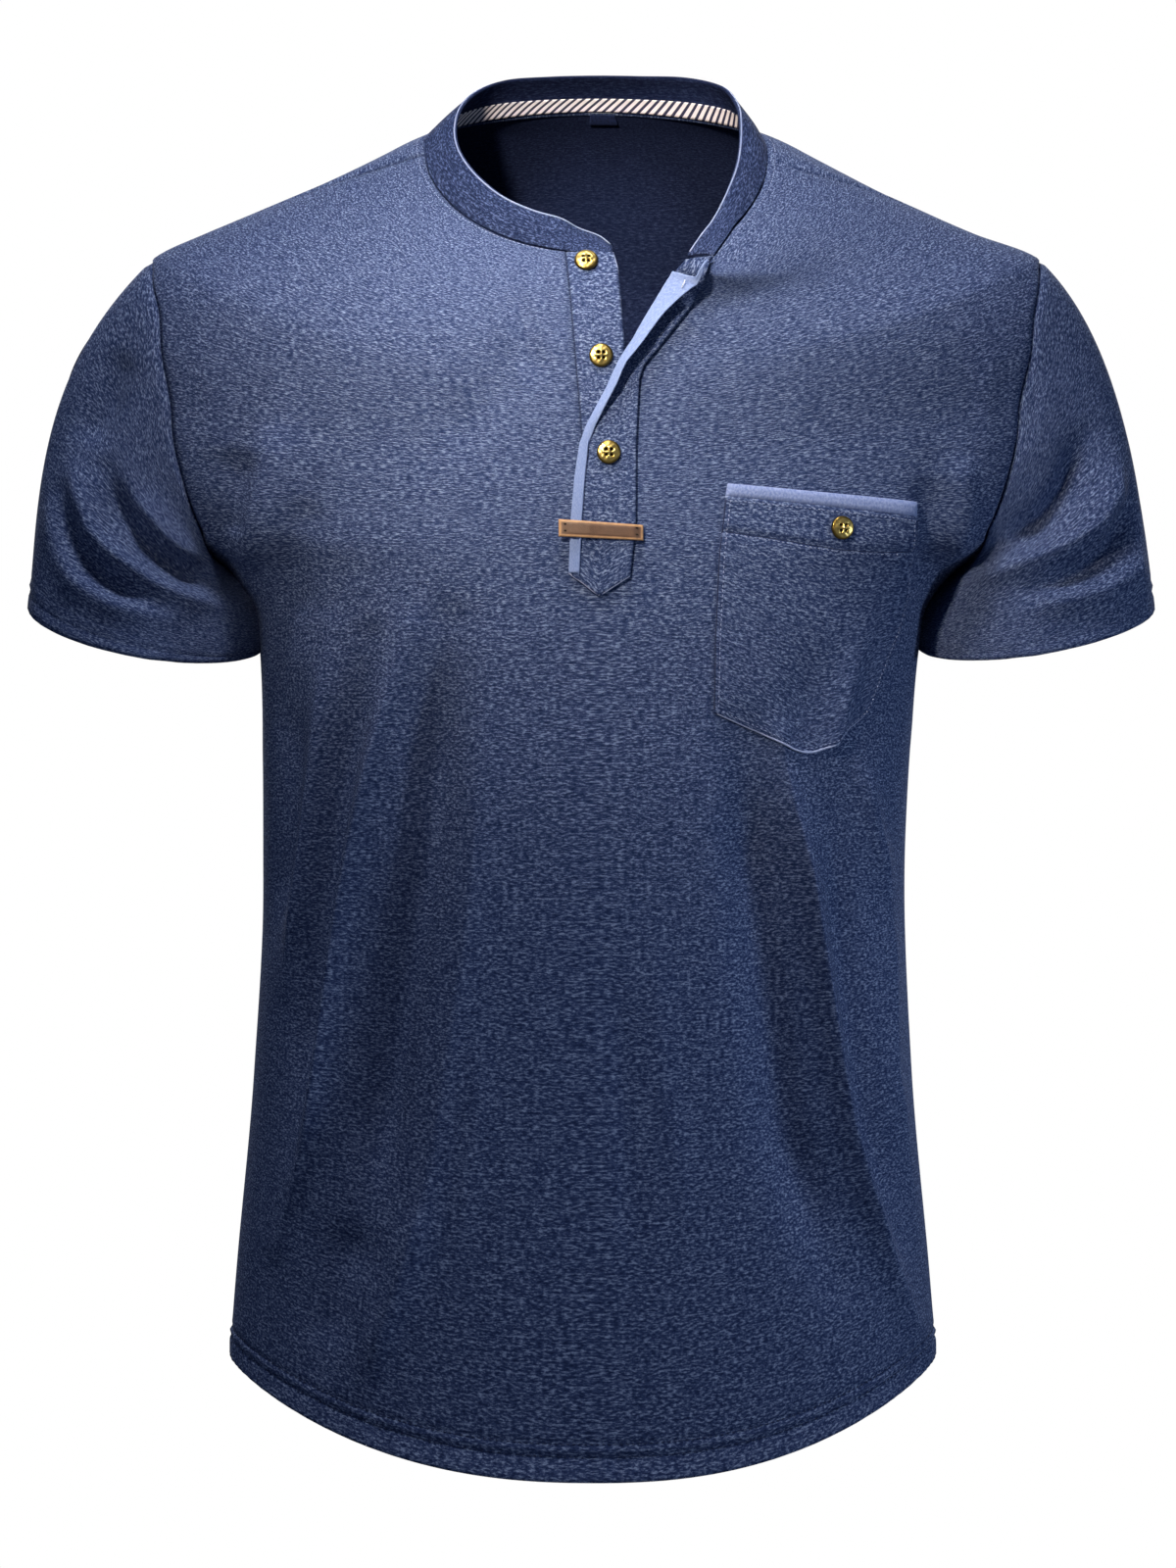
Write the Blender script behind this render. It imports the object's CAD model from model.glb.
# %% [markdown]
# # A henley t-shirt with a chest pocket
# The shirt is filled out as worn, with no wearer. Its solids come in as a fixed frame, and
# every piece of cloth is made again here, finer, on the same form. Sizes in the tables are in
# millimetres, and MM turns them into Blender's metres. Only the studio's values are in metres.

# %% Load the frame
import bpy
import bmesh
import math
import numpy as np
from mathutils import Matrix, Vector


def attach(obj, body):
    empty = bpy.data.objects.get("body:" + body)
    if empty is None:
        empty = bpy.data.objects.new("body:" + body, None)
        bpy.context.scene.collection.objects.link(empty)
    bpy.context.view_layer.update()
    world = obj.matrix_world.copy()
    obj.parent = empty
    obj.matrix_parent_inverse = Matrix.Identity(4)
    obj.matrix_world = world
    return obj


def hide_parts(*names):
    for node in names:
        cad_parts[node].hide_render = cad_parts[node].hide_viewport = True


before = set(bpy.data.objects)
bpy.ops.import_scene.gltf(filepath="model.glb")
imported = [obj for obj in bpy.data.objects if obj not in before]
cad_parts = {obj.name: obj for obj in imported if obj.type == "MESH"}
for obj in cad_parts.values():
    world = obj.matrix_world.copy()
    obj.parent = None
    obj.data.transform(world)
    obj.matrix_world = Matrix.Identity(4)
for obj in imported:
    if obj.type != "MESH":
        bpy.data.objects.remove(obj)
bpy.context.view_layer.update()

MM = 0.001

# %% [markdown]
# ## The skin of the body
# A worn shirt is a tube that changes from hem to neck, so a table of rings describes it well:
# each row is one level, with its heights, half widths and depths. Between the rows a smooth
# curve fills in. The panels are cut out of this one skin at the seams, so that they meet.

# %% Ring table
# rise above the hem; heights at the sides, front and back; half widths; depths; how square the
# section is and how fast the level drops from the sides; angles of both panels' side edges
BODY_COLUMNS = ("rise", "side", "front", "back", "left", "right", "fore", "aft",
                "square", "drop", "fedge", "bedge")
BODY = [
    (0, -651, -707, -710, 197, 184, 121, 118, 0.85, 2.0, 90, 90),
    (50, -601, -642, -645, 193, 180, 119, 118, 0.85, 2.0, 90, 90),
    (150, -501, -520, -522, 184, 171, 118, 117, 0.85, 2.0, 90, 90),
    (250, -401, -408, -410, 179, 167, 118, 115, 0.85, 2.0, 90, 90),
    (340, -311, -314, -315, 179, 171, 120, 115, 0.83, 2.0, 90, 90),
    (395, -256, -260, -261, 182, 177, 123, 117, 0.82, 2.0, 90, 90),
    (420, -232, -237, -240, 195, 192, 124, 118, 0.87, 2.0, 90, 90),
    (445, -209, -217, -220, 230, 229, 125, 119, 1.00, 2.0, 66, 114),
    (480, -176, -197, -198, 256, 256, 125, 119, 1.13, 2.0, 61, 119),
    (515, -142, -175, -170, 264, 264, 124, 117, 1.17, 2.0, 61, 119),
    (550, -109, -155, -132, 262, 263, 123, 114, 1.13, 1.9, 63.5, 116.5),
    (575, -83, -143, -99, 253, 255, 122, 110, 1.07, 1.8, 68, 112),
    (588, -70.5, -136.5, -82, 246.5, 247.5, 121.5, 108, 1.04, 1.75, 75, 105),
    (596, -63.4, -132.3, -71.8, 241, 242, 121, 106, 1.02, 1.7, 82, 98),
    (600, -60.2, -130.2, -66.8, 238, 239, 120.7, 105, 1.01, 1.7, 90, 90),
    (627, -47, -115, -39, 211, 205, 119, 98, 0.99, 1.5, 90, 90),
    (657, -34, -101, -16, 180, 176, 116, 92, 0.98, 1.4, 89, 89),
    (689, -21, -88, 4, 149, 149, 112, 85, 0.98, 1.25, 88, 88),
    (718, -9, -77, 17, 121, 124, 107, 79, 0.98, 1.1, 86, 86),
    (738, -1, -70, 24, 103, 106, 103, 74, 0.99, 1.0, 85, 85),
    (752, 3, -66.5, 27.5, 92.7, 92.7, 101, 72, 1.0, 1.0, 84, 84),
]
UNDERARM, NECK = 420.0, 752.0
# where the open placket pulls the right front neck: angle, forward, down
NECK_PULL = [(6, 0, 0), (14, 9, 5), (30, 28, 17), (40, 31, 22), (45, 29, 17), (52, 26, 11.5),
             (65, 24, 9.5), (80, 19, 8), (100, 4, 2), (120, 0, 0)]


# %% Curves through tables
def hermite(t, start, rate, end, end_rate):
    """Cubic from start to end with a rate of change given at both."""
    return ((2 * t**3 - 3 * t**2 + 1) * start + (t**3 - 2 * t**2 + t) * rate
            + (3 * t**2 - 2 * t**3) * end + (t**3 - t**2) * end_rate)


def spline(keys, values, at):
    """Smooth curve through a table that never overshoots its values."""
    keys, values, at = (np.asarray(a, float) for a in (keys, values, at))
    steps = np.diff(keys)
    rates = np.diff(values) / steps
    slopes = np.empty_like(values)
    slopes[0], slopes[-1] = rates[0], rates[-1]
    for i in range(1, len(keys) - 1):
        a, b = rates[i - 1], rates[i]
        slopes[i] = 0.0 if a * b <= 0 else 2 * a * b / (a + b)
    i = np.clip(np.searchsorted(keys, at, side="right") - 1, 0, len(keys) - 2)
    h = steps[i]
    return hermite((at - keys[i]) / h, values[i], h * slopes[i], values[i + 1], h * slopes[i + 1])


def through(values, at):
    """Rounder curve through every value of a list; 'at' counts along the list."""
    values = np.asarray(values, float)
    slopes = np.gradient(values)
    i = np.clip(np.floor(at).astype(int), 0, len(values) - 2)
    return hermite(at - i, values[i], slopes[i], values[i + 1], slopes[i + 1])


def line_x(line, z):
    """Where a line given as x, z from the top down passes each height z."""
    xs, zs = zip(*line[::-1])
    return np.interp(z, zs, xs)


def between(keys, rows, at):
    """Rows of a table, read at places between its keys."""
    return np.stack([np.interp(at, keys, row) for row in np.transpose(rows)], -1)


def distances(points):
    """Distance of every point from the first one, along the line."""
    return np.concatenate([[0], np.cumsum(np.linalg.norm(np.diff(points, axis=0), axis=1))])


def unit(vectors):
    return vectors / np.maximum(np.linalg.norm(vectors, axis=-1, keepdims=True), 1e-12)


def ease(t):
    t = np.clip(t, 0, 1)
    return t * t * (3 - 2 * t)


def bell(x, centre, width):
    return np.exp(-((x - centre) / width) ** 2)


def quarter_round(share):
    """Height of a quarter circle at a share of its width."""
    return np.sqrt(np.clip(1 - (1 - np.clip(share, 0, 1)) ** 2, 0, 1))


def column(name, rise):
    """One column of the ring table at any level."""
    i = BODY_COLUMNS.index(name)
    return spline([row[0] for row in BODY], [row[i] for row in BODY], rise)


# %% [markdown]
# ## Folds
# Worn jersey hangs in long soft folds: they run down from the armholes and fan out where the
# arm pulls. Each fold here is a line seen from the front with a height and a width, and it
# fades at both ends. A negative height is a trough. The longest lie where the solids have
# their shallower ones; the finer ones are on the cloth alone. A cloth simulation would give
# folds too, but not these ones.

# %% Fold tables
RIDGE_LEFT = [(-98, -262), (-107, -298), (-116, -336), (-124, -373), (-131, -411), (-136, -446),
              (-141, -484), (-147, -524), (-156, -558), (-167, -588)]
RIDGE_RIGHT = [(96, -319), (102, -354), (109, -390), (114, -424), (119, -457), (124, -490),
               (130, -523), (139, -557), (151, -590), (171, -634)]
FRONT_FOLDS = [
    (12.0, 6.5, RIDGE_LEFT), (13.0, 6.5, RIDGE_RIGHT),
    (8.0, 6, [(-137, -262), (-146, -339), (-154, -396), (-163, -452)]),
    (-8.0, 8, [(-118, -268), (-131, -339), (-142, -411), (-152, -477), (-157, -538)]),
    (-15.0, 14, [(-77, -262), (-88, -375), (-106, -477), (-124, -590)]),
    (-5.0, 7, [(-157, -293), (-162, -370), (-169, -426)]),
    (3.5, 9, [(-56, -273), (-68, -426), (-84, -528), (-98, -615)]),
    (7.0, 8, [(-90, -560), (-104, -610), (-121, -656)]),
    (-6.0, 13, [(-128, -570), (-142, -645)]),
    (-14.0, 13, [(76, -320), (87, -426), (100, -523), (126, -605)]),
    (-7.0, 8, [(124, -360), (134, -452), (144, -523), (162, -585)]),
    (6.5, 5, [(139, -329), (147, -370), (155, -400)]),
    (5.0, 6, [(155, -400), (157, -498), (167, -549)]),
    (6.5, 10, [(-162, -152), (-167, -168), (-177, -201), (-187, -235)]),
    (-7.0, 10, [(-186, -165), (-192, -195), (-196, -222)]),
    (-5.0, 10, [(-148, -190), (-158, -230), (-162, -262)]),
    (5.5, 8, [(193, -168), (195, -202), (190, -228)]),
    (-6.0, 9, [(176, -180), (178, -215), (172, -245)]),
    (-3.0, 16, [(-30, -110), (-60, -150), (-85, -170)]),
]
FINE_FRONT_FOLDS = [
    (1.6, 5, [(-36, -82), (-28, -105), (-22, -128)]),
    (-1.6, 5, [(-43, -84), (-36, -108), (-29, -134)]),
    (1.2, 5, [(-52, -84), (-46, -112), (-38, -140)]),
    (1.5, 6, [(-172, -262), (-176, -300), (-174, -345)]),
    (-1.5, 5, [(-166, -255), (-168, -290), (-166, -330)]),
    (1.4, 7, [(-60, -470), (-64, -540), (-74, -600)]),
    (1.2, 7, [(30, -420), (36, -500), (48, -580)]),
    (-1.2, 8, [(10, -440), (16, -520), (22, -600)]),
    (1.2, 5, [(177, -252), (173, -290), (168, -330)]),
    (-1.3, 5, [(182, -256), (178, -300), (173, -352)]),
    (1.2, 6, [(-206, -120), (-200, -145), (-204, -175)]),
    (1.4, 6, [(208, -118), (206, -150), (210, -180)]),
    (1.2, 9, [(92, -66), (104, -96), (126, -120)]),
    (-1.2, 9, [(-96, -62), (-110, -92), (-134, -118)]),
]
BACK_FOLDS = [
    (8.0, 15, [(-150, -190), (-120, -290), (-108, -380), (-104, -470)]),
    (-7.2, 14, [(-128, -210), (-98, -310), (-84, -400)]),
    (8.0, 15, [(150, -190), (126, -280), (112, -380), (110, -460)]),
    (-6.4, 14, [(130, -220), (100, -320), (90, -420)]),
    (6.4, 13, [(-60, -390), (-10, -420), (45, -415)]),
    (-6.4, 12, [(-50, -365), (0, -392), (50, -388)]),
    (5.6, 14, [(-120, -500), (-142, -580), (-158, -640)]),
    (5.6, 14, [(118, -500), (134, -580), (150, -635)]),
    (4.8, 18, [(-80, -20), (-60, -60), (-30, -90)]),
    (4.8, 18, [(80, -20), (62, -62), (34, -92)]),
]
FINE_BACK_FOLDS = [
    (1.6, 7, [(-166, -210), (-160, -260), (-156, -310)]),
    (-1.6, 7, [(162, -205), (156, -262), (150, -315)]),
    (1.5, 8, [(-34, -438), (10, -450), (52, -440)]),
    (1.4, 9, [(-70, -520), (-84, -590), (-90, -650)]),
    (-1.4, 9, [(60, -510), (76, -590), (84, -650)]),
    (1.2, 9, [(-20, -500), (-14, -580), (-18, -660)]),
    (1.5, 7, [(-190, -130), (-186, -160), (-192, -190)]),
    (1.5, 7, [(190, -128), (184, -160), (190, -192)]),
]

# %% Height of the folds
CREST = 1.35  # power of a ridge's section; 2 is a round bell, less is a sharper crest


def fold_height(x, z, folds):
    """How far the folds lift the spots x, z off the smooth form."""
    total = np.zeros(np.broadcast(x, z).shape)
    for height, width, line in folds:
        line = np.asarray(line, float)
        legs = np.diff(line, axis=0)
        lengths = np.hypot(legs[:, 0], legs[:, 1])
        whole, done = lengths.sum(), 0.0
        best = np.full(total.shape, 1e9)
        along = np.zeros(total.shape)
        for start, leg, length in zip(line[:-1], legs, lengths):
            t = ((x - start[0]) * leg[0] + (z - start[1]) * leg[1]) / length**2
            t = np.clip(t, 0, 1)
            away = np.hypot(x - start[0] - t * leg[0], z - start[1] - t * leg[1])
            nearer = away < best
            best = np.where(nearer, away, best)
            along = np.where(nearer, (done + t * length) / whole, along)
            done += length
        taper = 0.25 + 0.75 * ease(np.minimum(along, 1 - along) / 0.25)
        power = CREST if height > 0 else 2.0
        total += height * taper * np.exp(-(np.abs(best) / width) ** power)
    return total


# %% [markdown]
# ## From angle and rise to a point of cloth
# Angle 0 is the centre front and +90 the right-hand side seam; rise runs up from the hem.
# The unfolded skin gives a point and its outward direction, and the folds move it along that.

# %% The skin
def smooth_skin(angle, rise):
    """Points of the skin without folds."""
    angle, rise = np.broadcast_arrays(np.asarray(angle, float), np.asarray(rise, float))
    sine, cosine = np.sin(np.radians(angle)), np.cos(np.radians(angle))
    square = column("square", rise)
    half = np.where(sine < 0, column("left", rise), column("right", rise))
    depth = np.where(cosine > 0, -column("fore", rise), column("aft", rise))
    middle = np.where(cosine > 0, column("front", rise), column("back", rise))
    side = column("side", rise)
    x = half * np.sign(sine) * np.abs(sine) ** square
    y = depth * np.abs(cosine) ** square
    z = side + (middle - side) * np.abs(cosine) ** column("drop", rise)
    near = ease((rise - 640.0) / (NECK - 640.0))
    turn, forward, down = zip(*NECK_PULL)
    y = y - near * np.interp(angle, turn, forward, 0, 0)
    z = z - near * np.interp(angle, turn, down, 0, 0)
    return np.stack([x, y, z], axis=-1)


def skin_normal(angle, rise):
    a, r = 0.6, 2.0  # steps to both sides, in degrees and in millimetres
    across = smooth_skin(angle + a, rise) - smooth_skin(angle - a, rise)
    above, below = np.minimum(rise + r, NECK), np.maximum(rise - r, 0)
    up = smooth_skin(angle, above) - smooth_skin(angle, below)
    return unit(np.cross(across, up))


def skin(angle, rise, fine=True):
    """Points of the folded skin and the directions outward."""
    flat = smooth_skin(angle, rise)
    normal = skin_normal(angle, rise)
    ahead = flat[..., 1] < 0
    x, z = flat[..., 0], flat[..., 2]
    lift = np.where(ahead, fold_height(x, z, FRONT_FOLDS + FINE_FRONT_FOLDS * fine),
                    fold_height(x, z, BACK_FOLDS + FINE_BACK_FOLDS * fine))
    calm = np.clip(np.abs(flat[..., 1]) / 45.0, 0, 1) * np.clip((NECK - rise) / 60.0, 0, 1)
    return flat + normal * (lift * calm)[..., None], normal


def front_place(x, z):
    """Angle and rise of the spot on the front that is seen at x, z."""
    x, z = np.broadcast_arrays(np.asarray(x, float), np.asarray(z, float))
    rises = np.linspace(0, NECK, 400)
    rise = np.interp(z, column("front", rises), rises)
    angle = np.degrees(np.arcsin(np.clip(x / 215.0, -0.95, 0.95)))
    for _ in range(25):
        here = smooth_skin(angle, rise)
        da = (smooth_skin(angle + 0.05, rise) - here) / 0.05
        dr = (smooth_skin(angle, rise + 0.1) - here) / 0.1
        ex, ez = x - here[..., 0], z - here[..., 2]
        det = da[..., 0] * dr[..., 2] - dr[..., 0] * da[..., 2]
        det = np.where(np.abs(det) < 1e-6, 1e-6, det)
        angle = np.clip(angle + np.clip((ex * dr[..., 2] - ez * dr[..., 0]) / det, -8, 8), -89, 89)
        rise = np.clip(rise + np.clip((da[..., 0] * ez - da[..., 2] * ex) / det, -30, 30), 0, 751)
    return angle, rise


def on_front(x, z, lift):
    """Points over the spots x, z of the front, and the directions outward."""
    face, normal = skin(*front_place(x, z), fine=False)
    return face + normal * np.asarray(lift, float)[..., None], normal


# %% [markdown]
# ## Materials
# Heathered jersey is knitted from yarn spun of dark and light fibres, so it shows short pale
# flecks along the rows of stitches. The flecks read the cloth's own UV map, whose unit is a
# metre, so they keep their size on every piece and follow the cloth round its folds.

# %% A node helper and colours
def linear(code):
    parts = [int(code[i:i + 2], 16) / 255 for i in (1, 3, 5)]
    return (*[c / 12.92 if c <= 0.04045 else ((c + 0.055) / 1.055) ** 2.4 for c in parts], 1.0)


def first_output(value):
    return value.outputs[0] if isinstance(value, bpy.types.Node) else value


def add(material, kind, links=None, **settings):
    """Add a node; links are socket: value, output, or node for its first output."""
    node = material.node_tree.nodes.new("ShaderNode" + kind)
    for name, value in settings.items():
        setattr(node, name, value)
    for socket, value in (links or {}).items():
        value = first_output(value)
        if isinstance(value, bpy.types.NodeSocket):
            material.node_tree.links.new(value, node.inputs[socket])
        else:
            node.inputs[socket].default_value = value
    return node


def start(name, roughness, metallic=0.0, gloss=0.5):
    """A new material with its main shader; a low gloss keeps dark cloth from looking grey."""
    material = bpy.data.materials.new(name)
    material.use_nodes = True
    shader = material.node_tree.nodes["Principled BSDF"]
    shader.inputs["Roughness"].default_value = roughness
    shader.inputs["Metallic"].default_value = metallic
    shader.inputs["Specular IOR Level"].default_value = gloss
    return material, shader


def ramp(material, factor, stops):
    """Colours given as place and code, read by a factor."""
    node = add(material, "ValToRGB", {"Fac": factor})
    while len(node.color_ramp.elements) < len(stops):
        node.color_ramp.elements.new(0.5)
    for element, (place, colour) in zip(node.color_ramp.elements, stops):
        element.position, element.color = place, linear(colour)
    return node.outputs["Color"]


def join(material, shader, **outputs):
    """Link outputs to the shader's sockets of the same names."""
    for socket, output in outputs.items():
        socket = shader.inputs[socket.replace("_", " ")]
        material.node_tree.links.new(first_output(output), socket)


# %% Heathered jersey
def jersey(name, dark, middle, light):
    """Single jersey; a fleck is a fibre bundle about 2.5 mm long and one stitch row high."""
    material, shader = start(name, 0.95, gloss=0.08)
    uv = add(material, "UVMap", uv_map="cloth").outputs["UV"]
    flecks = add(material, "Mapping", {"Vector": uv, "Scale": (420.0, 1000.0, 1.0)})
    fine = add(material, "TexNoise", {"Vector": flecks, "Scale": 1.0, "Detail": 3.5,
                                       "Roughness": 0.7})
    rows = add(material, "Mapping", {"Vector": uv, "Scale": (90.0, 420.0, 1.0)})
    streak = add(material, "TexNoise", {"Vector": rows, "Scale": 1.0, "Detail": 2.0,
                                         "Roughness": 0.5})
    both = add(material, "Math", {0: fine, 1: 0.84}, operation="MULTIPLY")
    soft = add(material, "Math", {0: streak, 1: 0.16, 2: both}, operation="MULTIPLY_ADD")
    colour = ramp(material, soft, [(0.37, dark), (0.5, middle), (0.64, light)])
    join(material, shader, Base_Color=colour)
    stitches = add(material, "Mapping", {"Vector": uv, "Scale": (900.0, 1150.0, 1.0)})
    loops = add(material, "TexVoronoi", {"Vector": stitches, "Scale": 1.0, "Randomness": 0.55})
    raised = add(material, "Math", {0: loops, 1: -0.6, 2: fine}, operation="MULTIPLY_ADD")
    bump = add(material, "Bump", {"Height": raised, "Strength": 0.45, "Distance": 0.0004})
    join(material, shader, Normal=bump)
    return material


def flat_cloth(name, dark, light):
    """Plain woven cotton: fine crossing threads and slight cloudiness."""
    material, shader = start(name, 0.85, gloss=0.2)
    uv = add(material, "UVMap", uv_map="cloth").outputs["UV"]
    threads = add(material, "Mapping", {"Vector": uv, "Scale": (1400.0, 1120.0, 1.0)})
    weft = add(material, "TexNoise", {"Vector": threads, "Scale": 0.6, "Detail": 2.0})
    colour = ramp(material, weft, [(0.3, dark), (0.7, light)])
    bump = add(material, "Bump", {"Height": weft, "Strength": 0.4, "Distance": 0.0003})
    join(material, shader, Base_Color=colour, Normal=bump)
    return material


NAVY = jersey("heathered_navy_jersey", "#172344", "#2f3d63", "#7c8bae")
COLLAR_NAVY = jersey("heathered_navy_band", "#0e1732", "#1c2748", "#526189")
INSIDE = jersey("knit_wrong_side", "#0f1632", "#18213f", "#2c3759")
PALE = flat_cloth("pale_blue_poplin", "#6275a5", "#7a8cb8")
PALE_NAVY = flat_cloth("blue_binding_poplin", "#6071a2", "#8190bb")
EDGE = flat_cloth("rolled_jersey_edge", "#6c7aa4", "#9ca8cc")
TAB_CLOTH = flat_cloth("woven_navy_tab", "#101a38", "#1b2850")

# %% [markdown]
# ## Metal, leather and the neck tape
# The buttons are antiqued brass: dark in the recesses, bright where they are rubbed. The
# leather tab is smooth cut leather with paler bevelled edges. The tape is cream with slanting
# navy stripes 3 mm apart, a common trim.

# %% Brass, leather, tape, thread
def antique_brass():
    material, shader = start("antiqued_brass", 0.32, metallic=1.0)
    worn = add(material, "Attribute", attribute_name="patina")
    noise = add(material, "TexNoise", {"Scale": 900.0, "Detail": 3.0})
    add_up = add(material, "Math", {0: noise, 1: 0.35, 2: worn.outputs["Fac"]},
                 operation="MULTIPLY_ADD")
    colour = ramp(material, add_up, [(0.15, "#cdb56e"), (0.5, "#86703a"), (0.95, "#1d1710")])
    rough = add(material, "MapRange", {"Value": noise, "To Min": 0.22, "To Max": 0.5})
    join(material, shader, Base_Color=colour, Roughness=rough)
    return material


def tab_leather():
    material, shader = start("brown_cut_leather", 0.55)
    place = add(material, "TexCoord").outputs["Object"]
    edge = add(material, "Attribute", attribute_name="edge")
    grain = add(material, "TexVoronoi", {"Vector": place, "Scale": 1600.0})
    cloud = add(material, "TexNoise", {"Vector": place, "Scale": 260.0, "Detail": 4.0})
    tone = add(material, "Math", {0: cloud, 1: 0.4, 2: edge.outputs["Fac"]},
               operation="MULTIPLY_ADD")
    colour = ramp(material, tone, [(0.1, "#4c372b"), (0.4, "#624839"), (0.95, "#b08a63")])
    bump = add(material, "Bump", {"Height": grain, "Strength": 0.35, "Distance": 0.0002})
    join(material, shader, Base_Color=colour, Normal=bump)
    return material


def striped_tape():
    material, shader = start("striped_twill_tape", 0.85)
    uv = add(material, "UVMap", uv_map="cloth").outputs["UV"]
    parts = add(material, "SeparateXYZ", {"Vector": uv})
    slant = add(material, "Math", {0: parts.outputs["Y"], 1: -0.75, 2: parts.outputs["X"]},
                operation="MULTIPLY_ADD")
    turns = add(material, "Math", {0: slant, 1: 1 / 0.0031}, operation="MULTIPLY")
    share = add(material, "Math", {0: turns}, operation="FRACT")
    colour = ramp(material, share, [(0.0, "#e9e0ea"), (0.52, "#efe8ee"), (0.6, "#2b2a4a"),
                                     (0.9, "#2b2a4a")])
    bump = add(material, "Bump", {"Height": share, "Strength": 0.5, "Distance": 0.0004})
    join(material, shader, Base_Color=colour, Normal=bump)
    return material


def thread(name, dark, light):
    """Spun polyester thread; a twist shows as a slanting light and dark along the stitch."""
    material, shader = start(name, 0.7, gloss=0.2)
    place = add(material, "TexCoord").outputs["Object"]
    twist = add(material, "TexNoise", {"Vector": place, "Scale": 1500.0, "Detail": 2.0})
    tones = add(material, "Mix", {"Factor": twist.outputs["Fac"], "A": linear(dark),
                                  "B": linear(light)}, data_type="RGBA")
    join(material, shader, Base_Color=tones.outputs["Result"])
    return material


BRASS, LEATHER, TAPE_CLOTH = antique_brass(), tab_leather(), striped_tape()
NAVY_THREAD = thread("navy_thread", "#0d1430", "#1c2647")
LIGHT_THREAD = thread("light_navy_thread", "#6c7aa6", "#a7b2d4")
WHITE_THREAD = thread("white_thread", "#cfd6e4", "#f4f6fa")
DARK_THREAD = thread("dark_thread", "#14110f", "#33261c")
print("materials:", len(bpy.data.materials))

# %% [markdown]
# ## Sheets from a grid
# A sheet of cloth starts as a flat grid, and each point is moved to its place on the form.
# The grid's own x and y become the UV map, in metres along the cloth.


def show(name, data):
    """An object for the data, linked to the scene."""
    shown = bpy.data.objects.new(name, data)
    bpy.context.scene.collection.objects.link(shown)
    return shown


def own(mesh_data, name, material):
    """A piece of the shirt from a finished bmesh."""
    mesh = bpy.data.meshes.new(name)
    mesh_data.to_mesh(mesh)
    mesh_data.free()
    mesh.shade_smooth()
    mesh.materials.append(material)
    piece = show(name, mesh)
    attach(piece, "root")
    return piece


def cloth_grid(across, down):
    """A flat unit grid and the two shares, u and v, of every vertex."""
    made = bmesh.new()
    bmesh.ops.create_grid(made, x_segments=across, y_segments=down, size=0.5)
    made.verts.ensure_lookup_table()
    flat = np.array([vert.co[:2] for vert in made.verts]) + 0.5
    return made, np.round(flat[:, 0] * across) / across, np.round(flat[:, 1] * down) / down


def place_grid(made, points, uv):
    layer = made.loops.layers.uv.new("cloth")
    for vert, point in zip(made.verts, points):
        vert.co = Vector(point) * MM
    for face in made.faces:
        for loop in face.loops:
            loop[layer].uv = uv[loop.vert.index] * MM


def paint(piece, name, values):
    """A value at every vertex, for the material to read."""
    piece.data.attributes.new(name, "FLOAT", "POINT").data.foreach_set("value", values)


def thicken(piece, wall, inside=None):
    """Give the sheet its wall, inwards; 'inside' is the finish of the cloth's wrong side."""
    solid = piece.modifiers.new("wall", "SOLIDIFY")
    solid.thickness = wall * MM
    solid.offset = -1.0
    if inside:
        piece.data.materials.append(inside)
        solid.material_offset = 1
    return piece


# %% [markdown]
# ## Front and back
# The front has a slit for the placket: above its foot the quads between the two slit lines are
# taken out. Close to a seam the cloth dips, because the seam allowance pulls it in, and it
# puckers a little along the stitching. At the hem two rows of stitching press the cloth down.

# %% Slit and seams
SLIT_LEFT = [(-15.0, -66), (-12.3, -91), (-8.7, -134), (-6.2, -164), (-4.6, -238)]
SLIT_RIGHT = [(58.0, -73.6), (45.9, -95.9), (31.1, -114.6), (20.9, -126.9), (18.4, -134.1),
              (16.3, -168.2), (16.1, -207.9), (14.8, -238)]
SEAM_GAP = 0.3
HEM_ROWS = (11.0, 16.5)   # heights of the two stitched rows over the hem's edge
JERSEY_WALL = 1.3
PER_DEGREE = 3.1          # millimetres of girth to a degree round the body
PER_RISE = 1.1            # millimetres of cloth to a millimetre of rise, near the hem


def line_angle(rise, line, low, high):
    """Angle at which each level of the skin crosses a line given as x, z."""
    low, high = np.full(rise.shape, float(low)), np.full(rise.shape, float(high))
    for _ in range(34):
        middle = (low + high) / 2
        here = smooth_skin(middle, rise)
        before = here[:, 0] < line_x(line, here[:, 2])
        low, high = np.where(before, middle, low), np.where(before, high, middle)
    return (low + high) / 2


def hem_relief(height, along, flare):
    """Dents at the two stitched rows, a soft ridge between them and puckers along them."""
    dents = sum(-0.7 * bell(height, row, 1.2) for row in HEM_ROWS)
    ridge = 0.5 * bell(height, sum(HEM_ROWS) / 2, 1.6)
    wave = np.sin(along * 0.55 + 1.7 * np.sin(along * 0.11)) + 0.6 * np.sin(along * 0.23 + 2.0)
    pucker = wave * 0.45 * bell(height, 9.0, 8.0)
    return dents + ridge + pucker + flare * ease((HEM_ROWS[0] - height) / HEM_ROWS[0])


def seam_dip(away):
    """Dip of the cloth at a seam, 1.5 mm deep and 2 mm wide."""
    return -1.5 * bell(np.maximum(away, 0), 0, 2.0)


def panel_relief(rise, angle, seam_away):
    flare = 3.2 * np.cos(np.radians(angle)) ** 2
    return hem_relief(rise * PER_RISE, angle * PER_DEGREE, flare) \
        + seam_dip(np.minimum(seam_away, NECK - rise))


# %% Front and back panels
RISE_STOPS = [0, 20, 110, 200, 290, 370, 410, 440, 480, 530, 575, 600, 650, 700, 740, 752]


def rises_for(v):
    """Levels of the grid rows, closer together where the form bends most."""
    return np.interp(v, np.linspace(0, 1, len(RISE_STOPS)), RISE_STOPS)


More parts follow.
